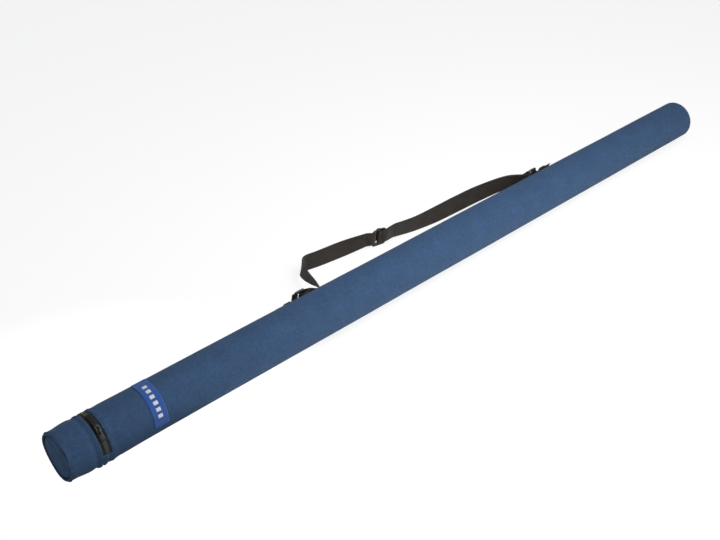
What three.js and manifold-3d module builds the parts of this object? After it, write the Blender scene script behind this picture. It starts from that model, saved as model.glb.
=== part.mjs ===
// Hard tube case with a fabric cover, a zip-off lid, and a webbing carry strap.
// Millimetres, +Z up. The tube lies along X on its flat underside, with the lid at -X.
// Origin: the middle of the underside. Angles round the tube are in degrees, 0 at the
// front (-Y), 90 on top (+Z) and 180 at the back (+Y).
import * as THREE from "three";
import { mergeVertices } from "three/addons/utils/BufferGeometryUtils.js";
import Module from "manifold-3d";

const wasm = await Module();
wasm.setup();

// Driving dimensions
const LENGTH = 1475; // overall length of the case
const COVER_R = 38; // outside radius of the fabric cover
const COVER_T = 1.6; // cover fabric with its backing
const LINER_T = 2; // wall of the stiff tube
const GAP = 0.3; // clearance between neighbouring pieces
const SIDES = 24; // flats round every turned piece

const ZIP_X = 55; // zip line, from the lid's end
const ZIP_HALF = 6.5; // half the width of the zip between the two cover edges
const TAPE_T = 0.8;
const TAPE_IN = 3.2; // inner edge of each tape, from the zip line
const CHAIN_OUT = 2.9; // outer edge of each row of teeth, from the zip line
const CHAIN_R = 37.8; // outside radius of the teeth
const ZIP_START = -5; // the zip runs from here, over the top, to ZIP_END
const ZIP_END = 285;
const STOP_ARC = 3.5; // arc of each end stop
const STOP_PROUD = 0.2;
const HINGE_GAP_ARC = 0.5; // between the zip's ends and the fabric hinge

const DISC_T = 3; // stiff disc in the lid
const PANEL_T = 3.4; // padded fabric end panels
const PIPING_T = 2.2; // bound seam round each end panel
const PIPING_DEPTH = 1.1;
const FOAM_T = 6;
const PLUG_T = 8; // plug in the closed end

const LABEL_X = [130, 153];
const LABEL_ARC = [-8, 115];
const LABEL_T = 0.7;

const SLIDER_ANGLE = 43;
const SLIDER_HALF = 13.5; // half the slider's arc
const SLIDER_HALF_W = 4.5;
const SLIDER_IN_R = 38.2;
const SLIDER_T = 1.4;
const BRIDGE_HALF_W = 1.2;
const BRIDGE_T = 1.3;
const BRIDGE_ARC = [44, 55.5];
const BRIDGE_TOP_R = 43.6;
const BRIDGE_LEG_ARC = 2;
const SLIDER_LIP_DROP = 1;
const SLIDER_LIP_W = 1.2;
const TAB_PIVOT_ANGLE = 49.3;
const TAB_PIVOT_R = 41.1;
const TAB_T = 1.4;
const TAB_HALF_W = 3.6;
const TAB_END_ANGLE = 95;
const TAB_LOW_R = 38.7; // inner radius of the tab where it lies on the zip
const TAB_BAR_R = 0.7; // round cross bar that turns in the slider's bridge
const TAB_SLOT_END = 60;
const TAB_FALL_ARC = [58, 78]; // where the tab comes down off the slider
const TAB_SLOT_HALF_W = 1.7;

const STRAP_W = 30;
const STRAP_T = 1.4;
const LAYER = 0.95; // each of two layers lies this far from the strap's centre surface
const LOOP_R = 3.7; // middle of a webbing loop round a bar
const RING_BAR = 4; // width of the ring's bars
const RING_T = 3.5;
const RING_PITCH = 18; // between the ring's two webbing bars
const RING_INSIDE = 33; // clear width for the webbing
const ANCHOR_R = COVER_R + GAP + LOOP_R + STRAP_T / 2; // height of a ring above the axis
const RING_CORNER = 3;
const TAIL_LENGTH = 14; // flat end of a tab's loop, from the ring's bar
const TAIL_LAP = 6; // of it that lies on the curved, sewn strip
const ANCHORS = {
  near: { angle: 168, strapX: 462, toward: -1, stripLength: 44 },
  far: { angle: 162, strapX: 1021, toward: 1, stripLength: 42 },
};
const SEWN_END = 42; // near end of the strap is sewn back to here
const LEVEL_FROM = 14; // beyond a ring's bar the webbing's two layers lie level
const LEVEL_STEP = 8; // level layers bend at the same multiples of this length
const ADJUSTER_X = 708;
const ADJUSTER_SIZE = [30, 40, 2.6];
const ADJUSTER_DROP = 2.5; // it hangs this far towards the strap's lower edge
const ADJUSTER_SLOT_DROP = 1.5; // its slots lie nearer its upper edge
const ADJUSTER_END_BAR = 4;
const ADJUSTER_MID_BAR = 3;
const ADJUSTER_SLOT_W = 34;
const ADJUSTER_LOOP_R = 3;
const ADJUSTER_CORNER = 4;
const ADJUSTER_CLEAR = [24, 34, 30]; // level webbing stops this far from the adjuster

const FABRIC_BLUE = 0x2b4a78;
const WEBBING_BLACK = 0x1d1b19;
const PLASTIC_BLACK = 0x141414;

const rad = THREE.MathUtils.degToRad;
const AXIS_Z = COVER_R * Math.cos(Math.PI / SIDES);
const COVER_IN_R = COVER_R - COVER_T;
const LINER_R = COVER_IN_R - GAP;
const BORE_R = LINER_R - LINER_T;
const PITCH = 360 / SIDES;
const OVERLAP = 0.5; // mm or degrees that joined and cutting solids run past each other

// Point at an angle round the tube, as (y, z) about the tube's axis.
function polar(radius, angle) {
  return new THREE.Vector2(-radius * Math.cos(rad(angle)), radius * Math.sin(rad(angle)));
}

// The flats stand square to 0, 15, 30 ... degrees; this is where a flat lies at an angle.
function flatRadius(radius, angle) {
  const off = angle - PITCH * Math.round(angle / PITCH);
  return (radius * Math.cos(Math.PI / SIDES)) / Math.cos(rad(off));
}

// Angles of the corners between two flats, with the two ends of the arc.
function cornerAngles(from, to) {
  const angles = [from];
  for (let k = Math.ceil((from + 0.01) / PITCH - 0.5); (k + 0.5) * PITCH < to - 0.01; k++) {
    angles.push((k + 0.5) * PITCH);
  }
  angles.push(to);
  return angles;
}

function flatRing(radius) {
  const points = [];
  for (let k = 0; k < SIDES; k++) {
    points.push(polar(radius, -(k + 0.5) * PITCH));
  }
  return points;
}

// A shape drawn in (y, z) becomes a solid from x0 to x1.
function alongX(shape, x0, x1) {
  const geometry = new THREE.ExtrudeGeometry(shape, { depth: x1 - x0, bevelEnabled: false });
  const toRow = new THREE.Matrix4().makeBasis(
    new THREE.Vector3(0, 1, 0),
    new THREE.Vector3(0, 0, 1),
    new THREE.Vector3(1, 0, 0),
  );
  return geometry.applyMatrix4(toRow).translate(x0, 0, 0);
}

function disc(radius, x0, x1) {
  return alongX(new THREE.Shape(flatRing(radius)), x0, x1);
}

function tube(outer, inner, x0, x1) {
  const shape = new THREE.Shape(flatRing(outer));
  shape.holes.push(new THREE.Path(flatRing(inner)));
  return alongX(shape, x0, x1);
}

// A curved strip that follows the tube's flats.
function flatStrip(outer, inner, from, to, x0, x1) {
  const angles = cornerAngles(from, to);
  const outside = angles.map((a) => polar(flatRadius(outer, a), a));
  const inside = angles.map((a) => polar(flatRadius(inner, a), a)).reverse();
  return alongX(new THREE.Shape([...outside, ...inside].reverse()), x0, x1);
}

// A curved strip on true arcs, whose two radii may change with the angle.
function arcStrip(outerAt, innerAt, from, to, x0, x1) {
  const steps = Math.max(2, Math.round((to - from) / 4));
  const outside = [];
  const inside = [];
  for (let i = 0; i <= steps; i++) {
    const angle = from + ((to - from) * i) / steps;
    outside.push(polar(outerAt(angle), angle));
    inside.push(polar(innerAt(angle), angle));
  }
  return alongX(new THREE.Shape([...outside, ...inside.reverse()].reverse()), x0, x1);
}

function toSolid(geometry) {
  const bare = geometry.clone();
  bare.deleteAttribute("normal");
  bare.deleteAttribute("uv");
  const merged = mergeVertices(bare, 1e-4);
  return new wasm.Manifold(
    new wasm.Mesh({
      numProp: 3,
      vertProperties: merged.attributes.position.array,
      triVerts: new Uint32Array(merged.index.array),
    }),
  );
}

function toGeometry(solid) {
  const mesh = solid.getMesh();
  const geometry = new THREE.BufferGeometry();
  geometry.setAttribute("position", new THREE.BufferAttribute(mesh.vertProperties, 3));
  geometry.setIndex(new THREE.BufferAttribute(mesh.triVerts, 1));
  return geometry;
}

function joined(...geometries) {
  return toGeometry(geometries.map(toSolid).reduce((a, b) => a.add(b)));
}

function cut(geometry, tool) {
  return toGeometry(toSolid(geometry).subtract(toSolid(tool)));
}

function box(x0, x1, y0, y1, z0, z1) {
  const geometry = new THREE.BoxGeometry(x1 - x0, y1 - y0, z1 - z0);
  return geometry.translate((x0 + x1) / 2, (y0 + y1) / 2, (z0 + z1) / 2);
}

const looks = {
  fabric: { color: FABRIC_BLUE, roughness: 0.85, metalness: 0 },
  webbing: { color: WEBBING_BLACK, roughness: 0.8, metalness: 0 },
  tape: { color: WEBBING_BLACK, roughness: 0.9, metalness: 0 },
  coil: { color: PLASTIC_BLACK, roughness: 0.4, metalness: 0 },
  metal: { color: 0x1a1a1b, roughness: 0.35, metalness: 0.8 },
  plastic: { color: PLASTIC_BLACK, roughness: 0.45, metalness: 0 },
  liner: { color: 0x2a2b2d, roughness: 0.5, metalness: 0 },
  foam: { color: 0x35373a, roughness: 0.95, metalness: 0 },
  label: { color: 0x1c4fa8, roughness: 0.6, metalness: 0 },
};

function piece(name, look, geometry) {
  const mesh = new THREE.Mesh(geometry, new THREE.MeshStandardMaterial(looks[look]));
  mesh.name = name;
  return mesh;
}

// The stiff tube with its plug and pad, and the fabric cover sewn over it.
function bodyPieces() {
  const linerEnd = LENGTH - PANEL_T - GAP;
  const plugStart = linerEnd - PLUG_T;
  const coverEnd = LENGTH - PIPING_T - GAP;
  const insideR = BORE_R - GAP;
  const panelR = COVER_IN_R - GAP;
  return [
    piece("tube_liner", "liner", tube(LINER_R, BORE_R, ZIP_X + GAP, linerEnd)),
    piece("end_plug", "plastic", disc(insideR, plugStart, linerEnd)),
    piece("end_foam_pad", "foam", disc(insideR, plugStart - GAP - FOAM_T, plugStart - GAP)),
    piece("body_sleeve", "fabric", tube(COVER_R, COVER_IN_R, ZIP_X + ZIP_HALF, coverEnd)),
    piece("closed_end_panel", "fabric", disc(panelR, LENGTH - PANEL_T, LENGTH)),
    piece("closed_end_piping", "fabric", tube(COVER_R, COVER_R - PIPING_DEPTH, coverEnd + GAP, LENGTH)),
    piece("woven_label", "label", labelPatch()),
  ];
}

function labelPatch() {
  const inner = COVER_R + GAP;
  return flatStrip(inner + LABEL_T, inner, LABEL_ARC[0], LABEL_ARC[1], LABEL_X[0], LABEL_X[1]);
}

// The lid: a short stiff ring closed by a disc, with the same cover over it.
function lidPieces() {
  const discStart = PANEL_T + GAP;
  const ringStart = discStart + DISC_T + GAP;
  const coverStart = PIPING_T + GAP;
  const panelR = COVER_IN_R - GAP;
  return [
    piece("lid_liner", "liner", tube(LINER_R, BORE_R, ringStart, ZIP_X - GAP)),
    piece("lid_disc", "plastic", disc(LINER_R, discStart, discStart + DISC_T)),
    piece("lid_foam_pad", "foam", disc(BORE_R - GAP, ringStart, ringStart + FOAM_T)),
    piece("lid_sleeve", "fabric", tube(COVER_R, COVER_IN_R, coverStart, ZIP_X - ZIP_HALF)),
    piece("lid_end_panel", "fabric", disc(panelR, 0, PANEL_T)),
    piece("lid_end_piping", "fabric", tube(COVER_R, COVER_R - PIPING_DEPTH, 0, PIPING_T)),
  ];
}

// One side of the zip and of the fabric hinge: side is 1 on the body and -1 on the lid.
function zipSide(owner, side) {
  const strip = (outer, inner, from, to, near, far) => {
    const ends = [ZIP_X + side * near, ZIP_X + side * far].sort((a, b) => a - b);
    return flatStrip(outer, inner, from, to, ends[0], ends[1]);
  };
  const middle = GAP / 2;
  const tapeR = COVER_IN_R + TAPE_T;
  const chainFrom = ZIP_START + STOP_ARC + GAP;
  const chainTo = ZIP_END - STOP_ARC - GAP;
  const stopR = CHAIN_R + STOP_PROUD;
  const hingeFrom = ZIP_END - 360 + HINGE_GAP_ARC;
  const hingeTo = ZIP_START - HINGE_GAP_ARC;
  const tape = strip(tapeR, COVER_IN_R, ZIP_START, ZIP_END, TAPE_IN, ZIP_HALF - GAP);
  const chain = strip(CHAIN_R, COVER_IN_R, chainFrom, chainTo, middle, CHAIN_OUT);
  const front = strip(stopR, COVER_IN_R, ZIP_START, ZIP_START + STOP_ARC, middle, CHAIN_OUT);
  const back = strip(stopR, COVER_IN_R, ZIP_END - STOP_ARC, ZIP_END, middle, CHAIN_OUT);
  const hinge = strip(COVER_R, COVER_IN_R, hingeFrom, hingeTo, middle, ZIP_HALF - GAP);
  return [
    piece(`zip_tape_${owner}`, "tape", tape),
    piece(`zip_teeth_${owner}`, "coil", chain),
    piece(`zip_stop_front_${owner}`, "metal", front),
    piece(`zip_stop_back_${owner}`, "metal", back),
    piece(`hinge_panel_${owner}`, "fabric", hinge),
  ];
}

// The slider rides over the teeth; its bridge holds the pull tab's cross bar.
function slider() {
  const top = SLIDER_IN_R + SLIDER_T;
  const from = SLIDER_ANGLE - SLIDER_HALF;
  const to = SLIDER_ANGLE + SLIDER_HALF;
  const x0 = ZIP_X - SLIDER_HALF_W;
  const x1 = ZIP_X + SLIDER_HALF_W;
  const plate = arcStrip(() => top, () => SLIDER_IN_R, from, to, x0, x1);
  const lipLow = SLIDER_IN_R - SLIDER_LIP_DROP;
  const lip = arcStrip(() => top, () => lipLow, from, to, x1 - SLIDER_LIP_W, x1);
  const bridgeX = [ZIP_X - BRIDGE_HALF_W, ZIP_X + BRIDGE_HALF_W];
  const arch = arcStrip(() => BRIDGE_TOP_R, () => top - OVERLAP, ...BRIDGE_ARC, ...bridgeX);
  const window = arcStrip(
    () => BRIDGE_TOP_R - BRIDGE_T,
    () => top,
    BRIDGE_ARC[0] + BRIDGE_LEG_ARC,
    BRIDGE_ARC[1] - BRIDGE_LEG_ARC,
    bridgeX[0] - OVERLAP,
    bridgeX[1] + OVERLAP,
  );
  return piece("zip_slider", "metal", joined(plate, lip, cut(arch, window)));
}

// A flat tab slotted for the bridge, closed at one end by a round bar on its pivot.
function pullTab() {
  const highR = TAB_PIVOT_R - TAB_T / 2;
  const fall = TAB_LOW_R - highR;
  const drop = (angle) => highR + fall * THREE.MathUtils.smoothstep(angle, ...TAB_FALL_ARC);
  const blank = arcStrip(
    (a) => drop(a) + TAB_T,
    drop,
    TAB_PIVOT_ANGLE,
    TAB_END_ANGLE,
    ZIP_X - TAB_HALF_W,
    ZIP_X + TAB_HALF_W,
  );
  const slot = arcStrip(
    () => BRIDGE_TOP_R,
    () => SLIDER_IN_R,
    TAB_PIVOT_ANGLE - OVERLAP,
    TAB_SLOT_END,
    ZIP_X - TAB_SLOT_HALF_W,
    ZIP_X + TAB_SLOT_HALF_W,
  );
  const pivot = polar(TAB_PIVOT_R, TAB_PIVOT_ANGLE);
  const round = new THREE.Shape().absarc(pivot.x, pivot.y, TAB_BAR_R, 0, 2 * Math.PI, false);
  const bar = alongX(round, ZIP_X - TAB_HALF_W, ZIP_X + TAB_HALF_W);
  return piece("pull_tab", "metal", joined(cut(blank, slot), bar));
}

// Rectangle with rounded corners, centred on (x, y).
function roundedRect(Kind, x, y, width, height, corner) {
  const path = new Kind();
  const [left, right] = [x - width / 2, x + width / 2];
  const [low, high] = [y - height / 2, y + height / 2];
  path.moveTo(left + corner, low);
  path.lineTo(right - corner, low);
  path.absarc(right - corner, low + corner, corner, -Math.PI / 2, 0, false);
  path.lineTo(right, high - corner);
  path.absarc(right - corner, high - corner, corner, 0, Math.PI / 2, false);
  path.lineTo(left + corner, high);
  path.absarc(left + corner, high - corner, corner, Math.PI / 2, Math.PI, false);
  path.lineTo(left, low + corner);
  path.absarc(left + corner, low + corner, corner, Math.PI, 1.5 * Math.PI, false);
  return path;
}

// A flat plastic frame in its own (x, y), centred on z = 0.
function frame(outline, windows, thickness) {
  outline.holes.push(...windows);
  const options = { depth: thickness, bevelEnabled: false, curveSegments: 3 };
  return new THREE.ExtrudeGeometry(outline, options).translate(0, 0, -thickness / 2);
}

// Turns a drawing with x along the case, y down the back and z outward to its place.
function onTube(angle, x) {
  const outward = polar(1, angle);
  const ez = new THREE.Vector3(0, outward.x, outward.y);
  const ex = new THREE.Vector3(1, 0, 0);
  const turn = new THREE.Matrix4().makeBasis(ex, new THREE.Vector3().crossVectors(ez, ex), ez);
  return turn.setPosition(x, 0, 0);
}

// A shape drawn in (x, z) becomes a solid centred on y = 0.
function acrossY(shape, width) {
  const options = { depth: width, bevelEnabled: false, curveSegments: 8 };
  const geometry = new THREE.ExtrudeGeometry(shape, options);
  const turn = new THREE.Matrix4().makeBasis(
    new THREE.Vector3(1, 0, 0),
    new THREE.Vector3(0, 0, 1),
    new THREE.Vector3(0, -1, 0),
  );
  return geometry.applyMatrix4(turn).translate(0, width / 2, 0);
}

// A ring, and the tab that holds it: the tab loops the ring's bar and is sewn to the cover.
function anchor(name, { angle, strapX, toward, stripLength }) {
  const place = onTube(angle, strapX);
  const barX = toward * RING_PITCH;
  const outside = [RING_PITCH + RING_BAR, RING_INSIDE + 2 * RING_BAR];
  const inside = [RING_PITCH - RING_BAR, RING_INSIDE];
  const outline = roundedRect(THREE.Shape, barX / 2, 0, ...outside, RING_CORNER);
  const hole = roundedRect(THREE.Path, barX / 2, 0, ...inside, RING_CORNER / 3);
  const ring = frame(outline, [hole], RING_T).translate(0, 0, ANCHOR_R);

  const loop = new THREE.Shape();
  loop.absarc(barX, ANCHOR_R, LOOP_R + STRAP_T / 2, 0, 2 * Math.PI, false);
  const bore = new THREE.Path();
  bore.absarc(barX, ANCHOR_R, LOOP_R - STRAP_T / 2, 0, 2 * Math.PI, true);
  loop.holes.push(bore);
  const low = COVER_R + GAP;
  const tail = [barX + toward * LOOP_R, barX + toward * TAIL_LENGTH].sort((a, b) => a - b);
  const flat = box(...tail, -STRAP_W / 2, STRAP_W / 2, low, low + 2 * STRAP_T);
  const strip = [TAIL_LENGTH - TAIL_LAP, stripLength].map((d) => strapX + barX + toward * d);
  const halfArc = THREE.MathUtils.radToDeg(STRAP_W / 2 / COVER_R);
  const sewn = flatStrip(
    low + STRAP_T,
    low,
    angle - halfArc,
    angle + halfArc,
    Math.min(...strip),
    Math.max(...strip),
  );
  const looped = joined(acrossY(loop, STRAP_W), flat).applyMatrix4(place);
  return [
    piece(`${name}_ring`, "plastic", ring.applyMatrix4(place)),
    piece(`${name}_anchor_tab`, "webbing", joined(looped, sewn)),
  ];
}

// Middle of the strap's width: distance from the lid's end, then y and z from the tube's
// axis, the lean of the webbing from upright in degrees, with its lower edge outward, and
// where the webbing twists, how far that lean is turned towards the closed end.
function ringPoint({ angle, strapX }) {
  const place = polar(ANCHOR_R, angle);
  return [strapX, place.x, place.y, 180 - angle];
}

const STRAP_ROUTE = [
  ringPoint(ANCHORS.near),
  [474, 42, 8.6, 12],
  [492, 46.5, 3.5, 36, 20],
  [511, 56, -3, 54, 38],
  [520.5, 82, -10.5, 47, 17],
  [529, 111, -15.8, 34, 5],
  [541, 137.5, -19.8, 16, 2],
  [557, 148, -22.4, -6],
  [585, 144.5, -22.6, -12],
  [640, 137, -21.9, -12],
  [682, 124.6, -17.4, 4],
  [708, 119.2, -15.4, 6],
  [734, 114.6, -16.4, 8],
  [790, 110, -22, 0],
  [840, 104.5, -20.4, -16],
  [890, 98, -15.2, -24],
  [940, 85, -5.5, -18],
  [984, 58, 11, 3],
  [1009, 41.5, 13.4, 18],
  ringPoint(ANCHORS.far),
];

// The strap's centre surface, measured along its length from the near ring's bar.
class Route {
  constructor(points) {
    const edge = (side) =>
      new THREE.CatmullRomCurve3(
        points.map(([x, y, z, lean, turn = 0]) => {
          const across = new THREE.Vector3(0, 0, -1);
          across.applyAxisAngle(new THREE.Vector3(1, 0, 0), rad(lean));
          across.applyAxisAngle(new THREE.Vector3(0, 0, 1), rad(-turn));
          return new THREE.Vector3(x, y, z).addScaledVector(across, (side * STRAP_W) / 2);
        }),
        false,
        "centripetal",
      );
    const [upper, lower] = [edge(-1), edge(1)];
    this.frames = [];
    const steps = 600;
    for (let i = 0; i <= steps; i++) {
      const top = upper.getPoint(i / steps);
      const bottom = lower.getPoint(i / steps);
      const middle = top.clone().add(bottom).multiplyScalar(0.5);
      const before = this.frames[i - 1];
      const s = before ? before.s + before.middle.distanceTo(middle) : 0;
      this.frames.push({ s, middle, across: bottom.sub(top).normalize() });
    }
    this.length = this.frames[steps].s;
  }

  // Frame at a length s: beyond either end the route runs straight on.
  at(s) {
    const inside = THREE.MathUtils.clamp(s, 0, this.length);
    let i = this.frames.findIndex((f) => f.s >= inside);
    i = Math.max(1, i);
    const [a, b] = [this.frames[i - 1], this.frames[i]];
    const mix = (inside - a.s) / (b.s - a.s);
    const along = b.middle.clone().sub(a.middle).normalize();
    const across = a.across.clone().lerp(b.across, mix).normalize();
    const middle = a.middle.clone().lerp(b.middle, mix).addScaledVector(along, s - inside);
    across.addScaledVector(along, -across.dot(along)).normalize();
    const out = new THREE.Vector3().crossVectors(along, across);
    return { middle, along, across, out };
  }

  lengthAtX(x) {
    return this.frames.findLast((f) => f.middle.x <= x).s;
  }
}

// Webbing along a list of [length, height off the centre surface] steps of the route.
function ribbon(route, steps) {
  const rows = steps.map(([s, off]) => {
    const f = route.at(s);
    return { centre: f.middle.addScaledVector(f.out, off), across: f.across };
  });
  const positions = [];
  rows.forEach(({ centre, across }, i) => {
    const next = rows[Math.min(i + 1, rows.length - 1)].centre;
    const last = rows[Math.max(i - 1, 0)].centre;
    const along = next.clone().sub(last).normalize();
    const out = new THREE.Vector3().crossVectors(along, across).normalize();
    for (const [w, t] of [[-1, -1], [1, -1], [1, 1], [-1, 1]]) {
      const corner = centre.clone();
      corner.addScaledVector(across, (w * STRAP_W) / 2).addScaledVector(out, (t * STRAP_T) / 2);
      positions.push(...corner.toArray());
    }
  });
  const index = [0, 3, 2, 0, 2, 1];
  for (let i = 0; i + 1 < rows.length; i++) {
    const forward = steps[i + 1][0] > steps[i][0];
    for (let k = 0; k < 4; k++) {
      const [a, b] = [4 * i + k, 4 * i + ((k + 1) % 4)];
      // both faces, and both layers, are split along the same diagonal
      const split = forward === (k < 2) ? [b, b + 4, a, b + 4, a + 4] : [b, a + 4, b, b + 4, a + 4];
      index.push(a, ...split);
    }
  }
  const end = 4 * (rows.length - 1);
  index.push(end, end + 1, end + 2, end, end + 2, end + 3);
  const geometry = new THREE.BufferGeometry();
  geometry.setAttribute("position", new THREE.Float32BufferAttribute(positions, 3));
  geometry.setIndex(index);
  return geometry;
}

// Steps of webbing round a bar that lies at length s, from one side of it to the other.
function turnRound(s, radius, from, to) {
  const count = 8;
  return Array.from({ length: count + 1 }, (_, i) => {
    const angle = rad(from + ((to - from) * i) / count);
    return [s + radius * Math.cos(angle), radius * Math.sin(angle)];
  });
}

// One length of webbing: sewn back on itself at the near ring, out to the far ring, and
// back beside itself to the adjuster, whose middle bar it is sewn round.
function strapSteps(route) {
  const adjuster = route.lengthAtX(ADJUSTER_X);
  const end = route.length;
  const [before, after, returning] = ADJUSTER_CLEAR;
  const level = (from, to, off) => {
    const [low, high] = [Math.min(from, to), Math.max(from, to)];
    const between = [];
    for (let s = Math.ceil((low + 2) / LEVEL_STEP) * LEVEL_STEP; s < high - 2; s += LEVEL_STEP) {
      between.push(s);
    }
    const all = [low, ...between, high].map((s) => [s, off]);
    return from < to ? all : all.reverse();
  };
  return [
    ...level(SEWN_END, LEVEL_FROM, -LAYER),
    ...turnRound(0, LOOP_R, 300, 60),
    ...level(LEVEL_FROM, adjuster - before, LAYER),
    ...WEAVE.map(([s, off]) => [adjuster + s, off]),
    ...level(adjuster + after, end - LEVEL_FROM, LAYER),
    ...turnRound(end, LOOP_R, 120, -120),
    ...level(end - LEVEL_FROM, adjuster + returning, -LAYER),
    ...RETURN.map(([s, off]) => [adjuster + s, off]),
    ...turnRound(adjuster, ADJUSTER_LOOP_R, -60, -300),
  ];
}

// Over the adjuster's middle bar and under its two end bars.
const WEAVE = [
  [-20, -1.4],
  [-14.5, -3],
  [-11, -3],
  [-9.4, -2.2],
  [-5.4, 3],
  [-2.8, 4.6],
  [0, 5.1],
  [2.8, 4.6],
  [5.4, 3],
  [9.4, -2.2],
  [11, -3],
  [14.5, -3],
  [20, -1.4],
];
const RETURN = [
  [22, -3.1],
  [14.5, -4.9],
  [11, -4.9],
  [6, -4.2],
  [3, -3.2],
];

function adjusterPiece(route) {
  const [length, width, thickness] = ADJUSTER_SIZE;
  const slotLength = (length - ADJUSTER_MID_BAR) / 2 - ADJUSTER_END_BAR;
  const slotX = (ADJUSTER_MID_BAR + slotLength) / 2;
  const outline = roundedRect(THREE.Shape, 0, ADJUSTER_DROP, length, width, ADJUSTER_CORNER);
  const slots = [-slotX, slotX].map((x) =>
    roundedRect(THREE.Path, x, ADJUSTER_SLOT_DROP, slotLength, ADJUSTER_SLOT_W, ADJUSTER_CORNER / 4),
  );
  const f = route.at(route.lengthAtX(ADJUSTER_X));
  const place = new THREE.Matrix4().makeBasis(f.along, f.out.clone().cross(f.along), f.out);
  place.setPosition(f.middle);
  const body = frame(outline, slots, thickness).applyMatrix4(place);
  return piece("strap_adjuster", "plastic", body);
}

function strapPieces() {
  const route = new Route(STRAP_ROUTE);
  return [
    piece("strap_webbing", "webbing", ribbon(route, strapSteps(route))),
    adjusterPiece(route),
  ];
}

const telescopeCarryCase = new THREE.Group();
telescopeCarryCase.position.set(-LENGTH / 2, 0, AXIS_Z);
telescopeCarryCase.add(
  ...bodyPieces(),
  ...lidPieces(),
  ...zipSide("body", 1),
  ...zipSide("lid", -1),
  slider(),
  pullTab(),
  ...anchor("near", ANCHORS.near),
  ...anchor("far", ANCHORS.far),
  ...strapPieces(),
);

export default telescopeCarryCase;
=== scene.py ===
# Hard tube case with a blue fabric cover, a zip-off lid and a webbing carry strap.
# Metres, +Z up. The tube lies along X with its lid at -X. Angles round the tube are in
# degrees: 0 at the front (-Y), 90 on top and 180 at the back (+Y).
import bisect
from math import copysign, cos, degrees, exp, pi, radians, sin, sqrt

import bmesh
import bpy
from mathutils import Matrix, Vector, noise


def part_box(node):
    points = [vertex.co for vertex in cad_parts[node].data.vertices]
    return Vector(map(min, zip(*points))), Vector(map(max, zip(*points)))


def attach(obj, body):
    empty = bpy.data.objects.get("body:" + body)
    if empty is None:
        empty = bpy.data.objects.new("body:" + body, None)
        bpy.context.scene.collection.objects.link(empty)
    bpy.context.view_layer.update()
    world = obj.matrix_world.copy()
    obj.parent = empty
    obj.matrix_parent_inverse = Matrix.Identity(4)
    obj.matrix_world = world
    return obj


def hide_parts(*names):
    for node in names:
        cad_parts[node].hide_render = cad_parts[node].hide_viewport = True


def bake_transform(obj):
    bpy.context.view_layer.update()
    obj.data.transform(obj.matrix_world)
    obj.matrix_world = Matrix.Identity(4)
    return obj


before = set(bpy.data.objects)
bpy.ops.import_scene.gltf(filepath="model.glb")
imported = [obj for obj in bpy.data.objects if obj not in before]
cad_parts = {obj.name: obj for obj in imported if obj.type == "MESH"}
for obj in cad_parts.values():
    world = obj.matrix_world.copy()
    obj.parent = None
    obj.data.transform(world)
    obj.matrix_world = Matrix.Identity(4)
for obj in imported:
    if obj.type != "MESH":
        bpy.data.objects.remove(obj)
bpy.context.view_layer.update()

MM = 0.001
BODY, LID, SLIDER, TAB = "case_body", "lid", "slider", "tab"
TUBE_WAY = Vector((1, 0, 0))
COVER_STEPS = 216

# ---- places from the frame


def low(node):
    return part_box(node)[0]


def high(node):
    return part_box(node)[1]


def ends(node):
    return low(node).x, high(node).x


AXIS_Z = (low("tube_liner").z + high("tube_liner").z) / 2
COVER_R = AXIS_Z + 0.12 * MM
COVER_T = 1.3 * MM
COVER_IN_R = COVER_R - COVER_T
LINER_R = COVER_IN_R - 0.7 * MM
BORE_R = LINER_R - 1.9 * MM
LID_END = low("lid_end_panel").x
CLOSED_END = high("closed_end_panel").x
ZIP_X = (high("zip_teeth_lid").x + low("zip_teeth_body").x) / 2
LID_HEM = high("lid_sleeve").x
BODY_HEM = low("body_sleeve").x
ZIP_START, ZIP_END = -5.0, 285.0
HINGE_SPAN = (ZIP_END - 360, ZIP_START)


def outward(angle):
    a = radians(angle)
    return Vector((0, -cos(a), sin(a)))


def on_tube(x, angle, radius):
    return Vector((x, 0, AXIS_Z)) + outward(angle) * radius


def round_way(angle):
    a = radians(angle)
    return Vector((0, sin(a), cos(a)))


def smooth(low_edge, high_edge, value):
    t = min(1.0, max(0.0, (value - low_edge) / (high_edge - low_edge)))
    return t * t * (3 - 2 * t)


def bell(value, middle, width):
    return exp(-(((value - middle) / width) ** 2))


def spaced(start, end, step):
    count = max(1, round(abs(end - start) / step))
    return [start + (end - start) * i / count for i in range(count + 1)]


# ---- mesh making


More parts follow.
